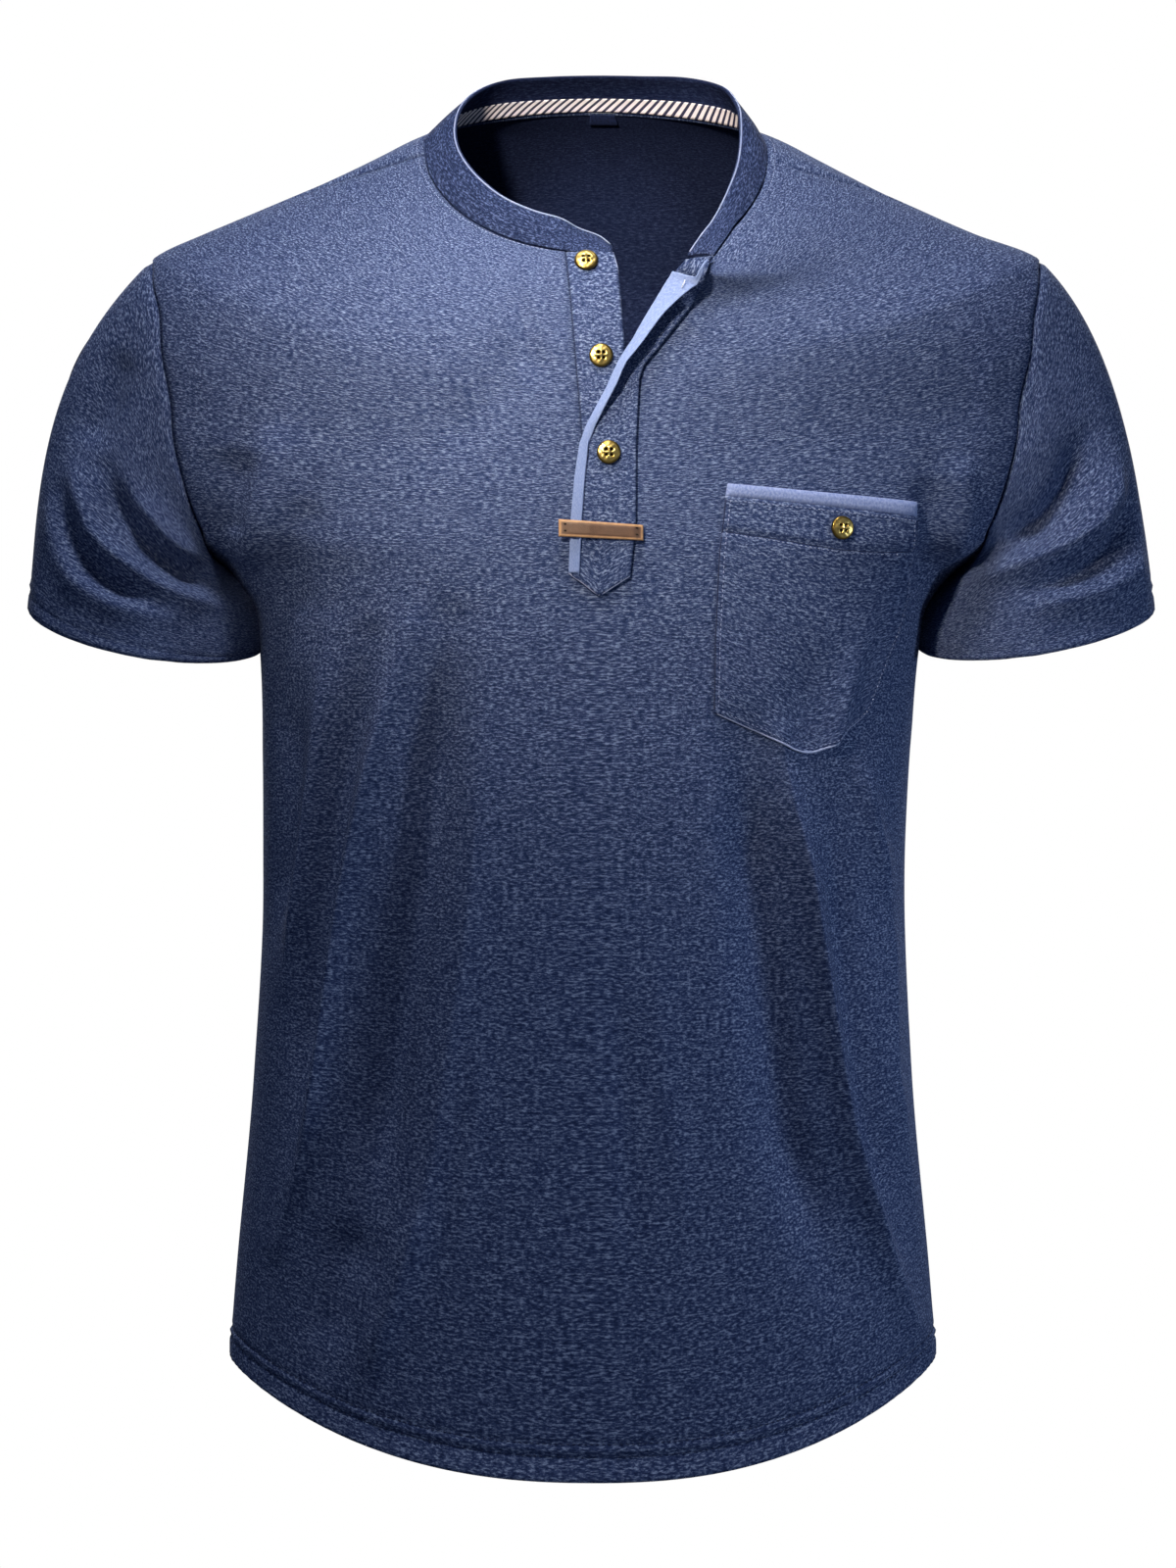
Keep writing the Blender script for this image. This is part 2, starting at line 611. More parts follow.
def bunched(t, gather=1.25):
    """Shares from 0 to 1, closer together towards 0."""
    return np.clip(t, 0, 1) ** gather


def make_front():
    across, down = 180, 240
    near_ridge, slit_from, slit_to, far_ridge = 34, 80, 96, 142  # grid columns on the guides
    made, u, v = cloth_grid(across, down)
    levels = rises_for(np.linspace(0, 1, down + 1))
    row = np.round(v * down).astype(int)
    col = np.round(u * across).astype(int)
    rise, edge = levels[row], column("fedge", levels)
    left_guide = [(-60, -60), (-84, -200)] + RIDGE_LEFT + [(-184, -651)]
    right_guide = [(104, -60), (92, -220)] + RIDGE_RIGHT + [(176, -651)]
    guides = [-edge, line_angle(levels, left_guide, -84, -3),
              line_angle(levels, SLIT_LEFT, -60, 20), line_angle(levels, SLIT_RIGHT, -20, 70),
              line_angle(levels, right_guide, 5, 84), edge]
    a, b, c, d, e, f = (guide[row] for guide in guides)
    angle = np.select(
        [col <= near_ridge, col <= slit_from, col < slit_to, col <= far_ridge],
        [b + (a - b) * bunched(1 - col / near_ridge),
         b + (c - b) * bunched((col - near_ridge) / (slit_from - near_ridge)),
         c + (d - c) * (col - slit_from) / (slit_to - slit_from),
         e + (d - e) * bunched(1 - (col - slit_to) / (far_ridge - slit_to))],
        e + (f - e) * bunched((col - far_ridge) / (across - far_ridge)))
    points, normal = skin(angle, rise)
    half_girth = 1.45 * (column("left", levels) + column("right", levels))[row]
    slit_away = np.minimum(np.abs(angle - c), np.abs(angle - d)) * PER_DEGREE
    slit_away = slit_away + (rise < UNDERARM) * 9  # below its foot the slit is far from the cloth
    away = np.minimum(np.minimum(u, 1 - u) * half_girth, slit_away)
    points = points + normal * panel_relief(rise, angle, away)[:, None]
    place_grid(made, points, np.stack([angle * 2.9, rise], -1))
    slit = [face for face in made.faces
            if slit_from < np.mean([col[vert.index] for vert in face.verts]) < slit_to
            and np.mean([rise[vert.index] for vert in face.verts]) > UNDERARM]
    bmesh.ops.delete(made, geom=slit, context="FACES")
    return thicken(own(made, "front_cloth", NAVY), JERSEY_WALL, INSIDE)


def make_back():
    made, u, v = cloth_grid(130, 200)
    rise = rises_for(v)
    edge = column("bedge", rise)
    angle = edge + (360 - 2 * edge) * u
    angle = np.where(angle > 180, angle - 360, angle)
    points, normal = skin(angle, rise)
    relief = panel_relief(rise, angle, np.minimum(u, 1 - u) * 500.0)
    place_grid(made, points + normal * relief[:, None], np.stack([u * 520.0, rise], -1))
    return thicken(own(made, "back_cloth", NAVY), JERSEY_WALL, INSIDE)


front_cloth, back_cloth = make_front(), make_back()
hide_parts("front")
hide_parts("back")
print("faces of the front and back:", [len(p.data.polygons) for p in (front_cloth, back_cloth)])

# %% [markdown]
# ## Sleeves
# Each sleeve is a tube. It leaves the armhole along the body's own slope and arrives at its
# hem, a slanting oval. At the underarm it turns down and lies against the body. Where the arm
# would pull, drag folds curve across its lower front.

# %% Sleeve tables
# centre of the hem; half width and depth of its oval; its slant; fullness over the shoulder
SLEEVE_RIGHT = dict(side=-1, x=-242.0, z=-258.5, wide=64.0, deep=62.0, lift=11.0, dip=19.0,
                    full=1.35)
SLEEVE_LEFT = dict(side=1, x=238.5, z=-259.5, wide=63.5, deep=62.0, lift=11.0, dip=16.0,
                   full=0.95)
ARMHOLE_RISES = [420, 424, 431, 441, 455, 472, 490, 508, 526, 544, 561, 576, 588, 596, 600]
FOLDS_RIGHT = [
    (8.7, 9, [(-282, -167), (-272, -195), (-267, -211), (-258, -221), (-239, -237),
              (-222, -246), (-200, -251)]),
    (-11.4, 7, [(-262, -178), (-254, -200), (-240, -218), (-222, -232), (-205, -240)]),
    (6.9, 8, [(-247, -190), (-231, -214), (-212, -230)]),
    (-10.2, 7, [(-286, -190), (-279, -216), (-262, -236), (-235, -249)]),
    (7.8, 8, [(-294, -183), (-287, -210), (-276, -236), (-256, -249), (-230, -257)]),
    (-7.6, 10, [(-248, -110), (-262, -140), (-276, -165)]),
]
FOLDS_LEFT = [
    (9.8, 9, [(282, -167), (275, -193), (266, -208), (246, -221), (222, -232), (203, -240)]),
    (-12.8, 8, [(262, -160), (254, -185), (240, -205), (222, -218)]),
    (-10.2, 7, [(288, -190), (280, -212), (262, -228), (236, -240)]),
    (6.9, 8, [(293, -213), (288, -230), (270, -242), (230, -253)]),
    (5.9, 10, [(240, -120), (236, -150), (226, -180)]),
]
FOLDS_BEHIND = [
    (6.8, 10, [(282, -160), (270, -195), (245, -222), (210, -238)]),
    (-6.0, 8, [(264, -165), (250, -195), (225, -215)]),
    (-5.2, 8, [(288, -195), (268, -226), (235, -243)]),
    (5.2, 9, [(291, -220), (268, -246), (238, -256)]),
]

# %% Sleeves on the armholes
def armhole(side, share):
    """Point and direction on the armhole; share 0 is the underarm, 0.5 the shoulder."""
    half = len(ARMHOLE_RISES) - 1
    step = np.where(share <= 0.5, share * 2 * half, (1 - share) * 2 * half)
    rise = np.interp(step, np.arange(half + 1), ARMHOLE_RISES)
    edge = np.where(share <= 0.5, column("fedge", rise), column("bedge", rise))
    return skin(side * edge, rise)


def leaving(side, share):
    """Direction in which the sleeve leaves the armhole, evened out over the shoulder point."""
    total = 0
    for offset in (-0.055, -0.035, -0.018, 0.0, 0.018, 0.035, 0.055):
        at = (share + offset) % 1
        after, before = armhole(side, (at + 0.02) % 1)[0], armhole(side, (at - 0.02) % 1)[0]
        total = total + unit(np.cross(unit(after - before), armhole(side, at)[1]) * side)
    return unit(total)


SHARES = np.linspace(0, 1, 337)
ROUND_ARMHOLE = {side: (armhole(side, SHARES)[0], leaving(side, SHARES)) for side in (-1, 1)}


def sleeve_point(form, share, t):
    """Points of a sleeve: share runs round it, t from the armhole to the hem."""
    side = form["side"]
    turn = share * 2 * np.pi
    inward, ahead = np.cos(turn), np.sin(turn)
    ring, leave = (between(SHARES, part, share) for part in ROUND_ARMHOLE[side])
    hem = np.stack([form["x"] - side * form["wide"] * inward, -form["deep"] * ahead,
                    form["z"] - form["lift"] * inward - form["dip"] * ahead], -1)
    top = ((1 - inward) / 2)[:, None]
    outward, to_body = unit(np.array([[side * 0.75, 0.0, -0.65], [side * -0.75, 0.0, -0.8]]))
    low, lowest = (1 - top) ** 1.5, (1 - top) ** 5
    leave = unit(leave * (0.25 + 0.75 * top) + outward * (low - lowest) + to_body * lowest)
    reach = np.linalg.norm(hem - ring, axis=1)[:, None]
    arrive = unit(np.array([side * 0.10, -0.08, -1.0]))
    pull_in, pull_out = reach * (0.8 + (form["full"] - 0.8) * top), reach * 0.9
    return hermite(t[:, None], ring + leave * SEAM_GAP, leave * pull_in, hem, arrive * pull_out)


def make_sleeve(name, form, folds):
    made, u, v = cloth_grid(112, 76)
    side = form["side"]
    share = np.where(side > 0, u, 1 - u) % 1.0
    t = 1 - v ** 0.9
    points = sleeve_point(form, share, t)
    step = 0.006
    around = sleeve_point(form, (share + step) % 1, t) - sleeve_point(form, (share - step) % 1, t)
    down = sleeve_point(form, share, np.minimum(t + step, 1)) \
        - sleeve_point(form, share, np.maximum(t - step, 0))
    normal = unit(np.cross(down, around) * side)
    behind = fold_height(side * points[:, 0], points[:, 2], FOLDS_BEHIND)
    lift = np.where(points[:, 1] < 0, fold_height(points[:, 0], points[:, 2], folds), behind)
    calm = np.clip(t / 0.25, 0, 1) * np.clip(np.abs(points[:, 1]) / 30, 0, 1)
    length, girth = 190.0, 400.0
    seam = seam_dip(length * t - 1.0) * (np.sin(np.pi * share) > 0.5)  # none at the underarm
    relief = lift * calm + seam + hem_relief((1 - t) * 205.0, share * 380.0, 0.4)
    points = points + normal * relief[:, None]
    by_body = ((1 + np.cos(share * 2 * np.pi)) / 2) ** 3  # 1 at the underarm, 0 at the shoulder
    points[:, 0] -= side * 9.0 * by_body * np.sin(np.pi * t) ** 0.7
    place_grid(made, points, np.stack([share * girth, -length * t], -1))
    bmesh.ops.remove_doubles(made, verts=made.verts, dist=0.00002)
    return thicken(own(made, name, NAVY), JERSEY_WALL, INSIDE)


sleeve_right = make_sleeve("sleeve_right_cloth", SLEEVE_RIGHT, FOLDS_RIGHT)
sleeve_left = make_sleeve("sleeve_left_cloth", SLEEVE_LEFT, FOLDS_LEFT)
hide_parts("sleeve_right")
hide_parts("sleeve_left")
print("faces of a sleeve:", len(sleeve_left.data.polygons))

# %% [markdown]
# ## Collar band
# The band is a doubled strip, sewn round the neck and folded over at its top edge. Its section
# goes up the outer face, round the fold, and down the inner face.

# %% Collar table
# angle of the seam at a station, then x, y and z of the top edge
COLLAR = [
    (5.6, 9.0, -85.0, -62.0),
    (1.2, 2.0, -84.0, -56.5),
    (-5.6, -8.5, -87.0, -52.8),
    (-12.5, -18.0, -91.0, -48.0),
    (-23.0, -31.5, -89.5, -44.0),
    (-36.0, -46.0, -80.0, -37.0),
    (-47.0, -57.5, -69.0, -28.0),
    (-61.5, -67.5, -50.0, -16.0),
    (-76.5, -74.0, -24.0, -2.5),
    (-88.0, -75.8, -0.5, 11.0),
    (-104.0, -73.0, 19.0, 24.0),
    (-122.0, -65.0, 38.0, 34.5),
    (-141.0, -50.0, 53.0, 42.0),
    (-161.0, -26.0, 61.5, 45.0),
    (-180.0, 0.0, 64.0, 46.0),
    (-199.0, 26.0, 61.5, 45.3),
    (-219.0, 51.0, 53.0, 43.3),
    (-238.0, 70.0, 38.0, 37.0),
    (-256.0, 77.5, 19.0, 26.0),
    (-273.0, 79.0, -4.0, 13.5),
    (-286.0, 77.5, -33.0, -7.0),
    (-297.0, 73.0, -62.0, -24.0),
    (-309.0, 63.5, -83.0, -45.5),
    (-313.5, 55.5, -92.0, -57.0),
    (-317.5, 48.5, -96.0, -67.5),
]

# %% Collar band
BAND_WALL, BAND_LIFT = 2.0, 0.2


def band_face(station, height):
    """Outer face of the band and its outward direction; height 0 is the seam, 1 the top."""
    table = np.asarray(COLLAR, float)
    turn = through(table[:, 0], station)
    turn = np.where(turn < -180, turn + 360, turn)
    seam, sewn = skin(turn, np.full(turn.shape, NECK))
    top = np.stack([through(table[:, k], station) for k in (1, 2, 3)], -1)
    seam = seam + unit(top - seam) * BAND_LIFT
    h = height[:, None]
    return seam * (1 - h) + top * h, sewn, top - seam


def band_point(station, height):
    """The band's outer face, slightly crowned, and its outward directions."""
    face, sewn, rise = band_face(station, height)
    ahead = band_face(np.minimum(station + 0.05, 24), height)[0]
    before = band_face(np.maximum(station - 0.05, 0), height)[0]
    normal = unit(np.cross(rise, ahead - before))
    mix = np.minimum(height * 3, 1)[:, None]
    normal = unit(normal * mix + sewn * (1 - mix))
    return face + normal * (4 * height * (1 - height) * 1.2)[:, None], normal


def make_collar():
    made, u, v = cloth_grid(260, 30)
    station = u * 24.0
    side = v * 30
    height = np.where(side <= 13, side / 13, np.where(side >= 17, (30 - side) / 13, 1.0))
    depth = np.select([side <= 13, side == 14, side == 15, side == 16], [0, 0.15, 0.5, 0.85], 1.0)
    over = np.select([side == 14, side == 15, side == 16], [0.036, 0.05, 0.036], 0.0)
    end = np.minimum(u, 1 - u) * 460.0
    slim = np.maximum(quarter_round(end / 1.4), 0.1)
    points, normal = band_point(station, height)
    rise = band_face(station, height)[2]
    wave = 0.25 * np.sin(station * 4.1) * bell(height, 0.1, 0.15)
    points = points + normal * (wave - BAND_WALL * (depth * slim + (1 - slim) / 2))[:, None] \
        + rise * over[:, None]
    place_grid(made, points, np.stack([station * 19.0, height * 20 + depth * 40], -1))
    for face in made.faces:
        face.material_index = int(np.mean([side[vert.index] for vert in face.verts]) > 15.4)
    bmesh.ops.recalc_face_normals(made, faces=made.faces)
    piece = own(made, "collar_cloth", COLLAR_NAVY)
    piece.data.materials.append(INSIDE)
    return piece


collar_cloth = make_collar()
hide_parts("collar_band")


# %% [markdown]
# ## Rolled edges and stitches
# A cut edge of cloth is turned under, so it shows as a thin roll that catches the light. A roll
# is a fine tube along a line. A row of stitches is a line of small lozenges, each one stitch
# long, sunk a little at its ends; one mesh holds the whole row.

# %% Tubes and stitch rows
def spaced(points, step):
    """The same line with points at even steps."""
    along = distances(points)
    count = max(int(along[-1] / step), 2)
    return between(along, points, np.linspace(0, along[-1], count + 1))


def roll(name, points, radius, material, step=3.0):
    """A thin tube through the points, closed at both ends."""
    path = spaced(points, step)
    made = bmesh.new()
    rings = []
    for i, point in enumerate(path):
        ahead = path[min(i + 1, len(path) - 1)] - path[max(i - 1, 0)]
        ring = bmesh.ops.create_circle(made, segments=8, radius=radius * MM)["verts"]
        turn = Vector(ahead).normalized().to_track_quat("Z", "Y").to_matrix().to_4x4()
        bmesh.ops.transform(made, matrix=Matrix.Translation(Vector(point) * MM) @ turn, verts=ring)
        edges = list({edge for vert in ring for edge in vert.link_edges})
        if rings:
            bmesh.ops.bridge_loops(made, edges=rings[-1] + edges)
        rings.append(edges)
    for ends in (rings[0], rings[-1]):
        bmesh.ops.holes_fill(made, edges=ends, sides=8)
    made.loops.layers.uv.new("cloth")
    bmesh.ops.recalc_face_normals(made, faces=made.faces)
    return own(made, name, material)


def stitch_row(name, points, normals, material, length=2.4, gap=0.9, girth=0.28, sink=0.05):
    """Stitches along a line that lies on cloth."""
    along = distances(points)
    centres = np.arange(length / 2, along[-1] - length / 2, length + gap)
    made = bmesh.new()
    for centre in centres:
        at = [centre - length / 2, centre, centre + length / 2]
        a, m, b = (Vector(point) for point in between(along, points, at))
        out = Vector(between(along, normals, centre)).normalized()
        way = (b - a).normalized()
        side = way.cross(out)
        turn = Matrix((way, side, out)).transposed().to_4x4()
        turn.translation = (m + out * (girth * 0.5 - sink)) * MM
        bead = bmesh.ops.create_icosphere(made, subdivisions=1, radius=1.0)["verts"]
        bmesh.ops.scale(made, vec=(length / 2 * MM, girth * MM, girth * MM), verts=bead)
        bmesh.ops.transform(made, matrix=turn, verts=bead)
    return own(made, name, material)


# %% [markdown]
# ## Flat-lying pieces
# Placket, pocket, binding and tab lie on the front. Each is a face that rounds down to the
# front at its border, like cloth turned under at its edges. The cloth ones are thin shells;
# the leather tab is closed by a lower face.


# %% Pillow pieces
TRIM_WALL = 0.6


def spread(count, length, rim):
    """Places from 0 to 1, closer together within the rim at both ends."""
    rim = min(rim / length, 0.3)
    ends = np.array([0, 0.06, 0.2, 0.45, 0.75]) * rim
    return np.concatenate([ends, np.linspace(rim, 1 - rim, count - 9), 1 - ends[::-1]])


def pillow(name, material, where, size, cells, low, wall, rim=1.3, relief=None, solid=False):
    """A flat piece that rounds down at its border; 'where' gives x, z for shares u, v."""
    us, vs = spread(cells[0], size[0], rim), spread(cells[1], size[1], rim)
    made, gu, gv = cloth_grid(cells[0], cells[1])
    u = us[np.round(gu * cells[0]).astype(int)]
    v = vs[np.round(gv * cells[1]).astype(int)]
    x, z = where(u, v)
    floor = low(u, v) if callable(low) else np.full(u.shape, float(low))
    away = np.minimum(np.minimum(u, 1 - u) * size[0], np.minimum(v, 1 - v) * size[1])
    round_off = quarter_round(away / rim)
    extra = relief(u, v) * round_off if relief else 0.0
    upper, _ = on_front(x, z, floor + wall * round_off + extra)
    uv = np.stack([u * size[0], -v * size[1]], -1)
    place_grid(made, upper, uv)
    if not solid:
        return thicken(own(made, name, material), TRIM_WALL)
    lower, _ = on_front(x, z, floor)
    under = cloth_grid(cells[0], cells[1])[0]
    place_grid(under, lower, uv)
    spare = bpy.data.meshes.new("spare")
    under.to_mesh(spare)
    under.free()
    made.from_mesh(spare)
    bpy.data.meshes.remove(spare)
    bmesh.ops.remove_doubles(made, verts=made.verts, dist=0.000002)
    bmesh.ops.recalc_face_normals(made, faces=made.faces)
    return own(made, name, material)

# %% Placket and facing outlines
UNDER_RIGHT = [(9.2, -66), (11.8, -75.6), (15.0, -115.7), (15.2, -168), (14.0, -238)]
PLACKET_RIGHT = [(58.5, -76.0), (49.5, -95.9), (35.1, -114.6), (24.9, -126.9), (22.4, -134.1),
                 (20.8, -168.2), (20.6, -207.9), (17.8, -236.3)]
FACING_LEFT = [(44.5, -72.7), (40.9, -78.1), (35.2, -86.8), (26.0, -102.3), (19.3, -114.1),
               (14.7, -120.8), (11.7, -125.9), (6.1, -138.2), (-4.6, -158.6), (-8.1, -168.3),
               (-10.7, -186.0), (-12.7, -207.9), (-13.7, -234.3)]
FACING_RIGHT = [(59.5, -73.6), (55.5, -78.6), (49.3, -85.6), (42.8, -93.8), (35.1, -102.8),
                (24.9, -116.1), (13.7, -130.1), (8.7, -138.7), (1.0, -154.5), (-3.0, -165.7),
                (-5.0, -186.0), (-6.6, -206.9), (-8.1, -237.8)]
PLACKET_WALL = 1.4


# %% Under placket and top placket
def under_where(u, v):
    z = -66.9 - v * 168.0
    a, b = line_x(SLIT_LEFT, z) + 0.15, line_x(UNDER_RIGHT, z)
    return a + (b - a) * u, z


placket_under = pillow("placket_under_cloth", NAVY, under_where, (28.0, 168.0), (24, 90),
                       -1.2, 2.0, rim=1.2,
                       relief=lambda u, v: 0.5 * np.sin(v * 46 + 3 * u) * bell(v, 0, 0.12))
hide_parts("placket_under")


def placket_lift(z):
    """Height of the placket's lower face; it lies closer to the front near the neck."""
    return 0.9 + 1.1 * np.clip((np.asarray(z, float) + 96) / 16, 0, 1)


PLACKET_FOOT = [(-11.9, -236.6), (-6.9, -239.6), (2.0, -247.0), (10.0, -241.6), (17.8, -236.6)]


def top_level(v):
    return -69.5 - v * 168.0


def top_where(u, v):
    level = top_level(v)
    foot_x, foot_z = zip(*PLACKET_FOOT)
    a, b = line_x(FACING_LEFT, level) + 1.7, line_x(PLACKET_RIGHT, level)
    x = a + (b - a) * u
    foot = np.interp(x, foot_x, foot_z)
    z = level + (foot + 237.5) * np.clip((v - 0.75) / 0.25, 0, 1) ** 1.5
    return x, z


placket_top = pillow("placket_top_cloth", NAVY, top_where, (33.0, 168.0), (30, 110),
                     lambda u, v: placket_lift(top_level(v)), PLACKET_WALL, rim=1.0)
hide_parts("placket_top")


# %% [markdown]
# ## The pale facing
# The placket is faced with pale blue poplin that rolls round its left edge. Low down it shows
# as a narrow strip; towards the neck the placket is folded open and the facing widens into a
# lapel that stands off the chest.

# %% Facing
def facing_section(a, wide, near, far):
    """Across and up for shares a: a hooked left edge, then the face, then a turned free edge."""
    hook, turned = 0.75, 0.5
    left = np.pi * np.clip(a / 0.22, 0, 1)
    right = np.pi * np.clip((a - 0.84) / 0.16, 0, 1)
    face = np.clip((a - 0.22) / 0.62, 0, 1)
    across = hook * (1 - np.sin(left)) * (a < 0.22) + (a >= 0.22) * (
        hook + (wide - hook - turned) * face + turned * np.sin(right))
    up = near + (far - near) * face + 0.35 * np.sin(np.pi * face) * (wide / 8.0)
    up = up - hook * (1 + np.cos(left)) * (a < 0.22) - turned * (1 - np.cos(right)) * (a >= 0.84)
    return across, up


def facing_lift(z):
    """Heights of the facing's left and free edges over the skin."""
    low = placket_lift(z)
    stand = ease((z + 172) / 50) * (1 - 0.45 * ease((z + 92) / 16))
    return low + PLACKET_WALL + 1.0 + 2.6 * stand, low + PLACKET_WALL + 0.9 + 8.6 * stand


def make_facing():
    made, a, v = cloth_grid(36, 160)
    z = -77.5 - (1 - v) * 157.5
    left, right = line_x(FACING_LEFT, z), line_x(FACING_RIGHT, z)
    near, far = facing_lift(z)
    across, up = facing_section(a, np.maximum(right - left, 5.0), near, far)
    points, _ = on_front(left + across, z, up)
    place_grid(made, points, np.stack([a * 22.0, z], -1))
    return thicken(own(made, "facing_cloth", PALE), TRIM_WALL)


facing_cloth = make_facing()
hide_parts("placket_facing")

# %% [markdown]
# ## Pocket
# A patch pocket with a pointed foot. Its mouth is turned over and stitched, and edged with a
# binding in the facing's blue. Its lower right side is tucked under by a fold, with a soft
# ridge beside it.

# %% Pocket outlines
POCKET_TOP = [(68.0, -195.2), (119.0, -199.7), (169.5, -204.4)]
POCKET_LEFT = [(68.0, -195.2), (64.6, -226.5), (62.6, -270.7), (62.2, -307.3)]
POCKET_RIGHT = [(169.5, -204.4), (169.0, -224.0), (165.5, -246.0), (160.6, -262.0),
                (154.4, -277.0), (149.2, -290.0), (145.6, -300.0), (141.5, -307.6)]
POCKET_FOOT = [(62.2, -307.3), (84.2, -316.9), (103.0, -326.4), (108.5, -328.0),
               (114.0, -327.8), (124.5, -323.2), (132.0, -315.2), (141.5, -307.6)]
BINDING_TOP = [(69.2, -188.9), (119.0, -192.9), (169.9, -196.8)]

# %% Pocket and binding
def on_line(line, share):
    """Points at shares of a line's length."""
    along = distances(line)
    return between(along, line, np.asarray(share) * along[-1])


def pocket_where(u, v):
    """Spots inside the pocket's outline, blended from its four sides."""
    a, b = u[:, None], v[:, None]
    corners = [on_line(POCKET_TOP, 0 * u), on_line(POCKET_TOP, 0 * u + 1),
               on_line(POCKET_FOOT, 0 * u), on_line(POCKET_FOOT, 0 * u + 1)]
    mean = ((1 - a) * (1 - b) * corners[0] + a * (1 - b) * corners[1]
            + (1 - a) * b * corners[2] + a * b * corners[3])
    grid = ((1 - b) * on_line(POCKET_TOP, u) + b * on_line(POCKET_FOOT, u)
            + (1 - a) * on_line(POCKET_LEFT, v) + a * on_line(POCKET_RIGHT, v) - mean)
    return grid[:, 0], grid[:, 1]


def pocket_puff(u, v):
    bulge = 1.6 * np.sin(np.pi * u) * np.sin(np.pi * np.clip(v * 0.9 + 0.05, 0, 1))
    ridge = 3.6 * bell(u, 0.74, 0.07) * ease((v - 0.35) / 0.5)
    return 0.1 + bulge + ridge + 0.4 * u**2


def pocket_relief(u, v):
    """Stitched hem band at the mouth, and puckers by the side seams."""
    band = -0.9 * bell(v, 0.158, 0.012) + 0.6 * (1 - ease((v - 0.145) / 0.025))
    pucker = 0.25 * np.sin(v * 70) * (bell(u, 0, 0.06) + bell(u, 1, 0.06))
    trough = -3.0 * bell(u, 0.52, 0.11) * ease((v - 0.45) / 0.35)
    return band + pucker + trough


POCKET_WALL = 1.1
pocket = pillow("pocket_cloth", NAVY, pocket_where, (104.0, 122.0), (76, 110), pocket_puff,
                POCKET_WALL, rim=1.2, relief=pocket_relief)
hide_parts("pocket")


def binding_where(u, v):
    a, b = on_line(BINDING_TOP, u), on_line(POCKET_TOP, u)
    grid = a * (1 - v[:, None]) + (b + [0, 0.2]) * v[:, None]
    return grid[:, 0], grid[:, 1]


binding = pillow("binding_cloth", PALE_NAVY, binding_where, (102.0, 7.0), (80, 16),
                 lambda u, v: pocket_puff(u, 0 * v), 2.0, rim=2.6)
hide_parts("pocket_binding")

# %% [markdown]
# ## Leather tab
# A short strap across the placket, with a bevelled border and two stitch holes at each end.

# %% Tab
TAB = dict(left=-18.8, right=24.9, left_top=-207.4, right_top=-210.4, left_foot=-216.5,
           right_foot=-218.5)
TAB_SIZE, TAB_RIM = (43.7, 9.0), 0.9


def tab_x(u):
    return TAB["left"] + (TAB["right"] - TAB["left"]) * u


def tab_where(u, v):
    top = TAB["left_top"] + (TAB["right_top"] - TAB["left_top"]) * u
    foot = TAB["left_foot"] + (TAB["right_foot"] - TAB["left_foot"]) * u
    return tab_x(u), top + (foot - top) * v


def tab_low(u, v):
    return np.interp(tab_x(u), [-18.8, -15.0, -12.0, -3.0, 3.0, 20.0, 24.9],
                     [3.4, 4.3, 4.9, 4.9, 4.0, 2.9, 1.6])


def tab_relief(u, v):
    inside = ease((u - 0.09) * 30) * ease((0.91 - u) * 30) * ease((v - 0.14) * 9) \
        * ease((0.86 - v) * 9)
    return -0.25 * (1 - inside)


leather_tab = pillow("leather_strap", LEATHER, tab_where, TAB_SIZE, (70, 26), tab_low, 1.5,
                     rim=TAB_RIM, relief=tab_relief, solid=True)
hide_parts("leather_tab")
spots = np.array([vert.co[:] for vert in leather_tab.data.vertices]) / MM
share_u = (spots[:, 0] - TAB["left"]) / (TAB["right"] - TAB["left"])
share_v = (spots[:, 2] - (TAB["left_top"] - 3.0 * share_u)) / -(9.0 - 1.0 * share_u)
from_edge = np.minimum(np.minimum(share_u, 1 - share_u) * TAB_SIZE[0],
                       np.minimum(share_v, 1 - share_v) * TAB_SIZE[1])
rim_share = 1 - ease((from_edge - TAB_RIM) / TAB_RIM)
paint(leather_tab, "edge", rim_share * 0.6)


# %% [markdown]
# ## Buttons
# A metal button is struck from sheet: a raised rim, a domed middle, four thread holes and a
# cross raised between them. The profile is spun into a round, then the top is pushed in at the
# holes. How deep a point lies is kept as an attribute, for the dark patina.

# %% Spun buttons
BUTTON_RADIUS = 6.2
# solid, x and z of the centre, height over the front
BUTTONS = [("button_1", -4.6, -72.3, 0.6), ("button_2", 3.1, -122.3, 0.6),
           ("button_3", 6.9, -172.8, 2.3), ("pocket_button", 127.4, -211.0, 3.0)]


def button_relief(x, y, z):
    """Change in height at a point; only the upper side changes."""
    away = np.hypot(x, y)
    cross = 0.3 * (bell(x, 0, 0.45) + bell(y, 0, 0.45)) * ease(3.6 - away)
    holes = sum(-1.4 * np.exp(-(((x - 1.4 * sx) ** 2 + (y - 1.4 * sy) ** 2) / 0.5))
                for sx in (-1, 1) for sy in (-1, 1))
    wear = 0.14 * np.sin(1.9 * x + 1.3) * np.sin(1.7 * y) + 0.06 * np.sin(4.1 * x) * np.sin(3.7 * y)
    return np.where(z > 1.0, cross + holes + wear * ease(5.6 - away), 0.0)


